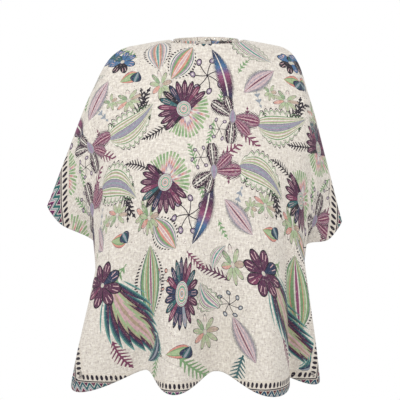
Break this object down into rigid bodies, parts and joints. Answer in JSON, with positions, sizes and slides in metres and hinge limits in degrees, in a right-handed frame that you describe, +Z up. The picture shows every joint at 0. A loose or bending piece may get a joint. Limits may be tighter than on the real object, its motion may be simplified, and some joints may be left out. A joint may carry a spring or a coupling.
{
  "type": "barber cape",
  "caption": "Printed cloth salon cape draped from a closed neckband, with hanging side sleeves, open back wings and a snap closure at the nape.",
  "frame": {"origin": "centre of the neck opening, level with the top of the neckband", "axes": "+Z up, -Y the front of the wearer, +X to the right as seen from the front"},
  "size_m": [0.6895, 0.3551, 0.8194],
  "materials": {
    "printed_cloth": "matte printed polyester with a linen-look weave",
    "printed_binding": "matte printed polyester, folded and topstitched",
    "satin_label": "smooth satin tape, blank",
    "snap_steel": "nickel-plated pressed steel"
  },
  "bodies": {
    "cape": {"cape_body": "printed_cloth", "neckband": "printed_binding", "care_label": "satin_label", "socket_1": "snap_steel", "socket_2": "snap_steel", "socket_3": "snap_steel", "socket_4": "snap_steel", "socket_5": "snap_steel", "socket_6": "snap_steel", "socket_back_cap_1": "snap_steel", "socket_back_cap_2": "snap_steel", "socket_back_cap_3": "snap_steel", "socket_back_cap_4": "snap_steel", "socket_back_cap_5": "snap_steel", "socket_back_cap_6": "snap_steel"},
    "closure_tab": {"overlap_tab": "printed_binding", "tab_stud_1": "snap_steel", "tab_stud_2": "snap_steel", "tab_cap_1": "snap_steel", "tab_cap_2": "snap_steel"}
  },
  "joints": [
    {"name": "tab_open", "type": "hinge", "parent": "cape", "child": "closure_tab", "pos_m": [-0.02255, 0.0789, 0.00352], "axis": [0, -0.1392, 0.9903], "range_deg": [0, 150]}
  ]
}
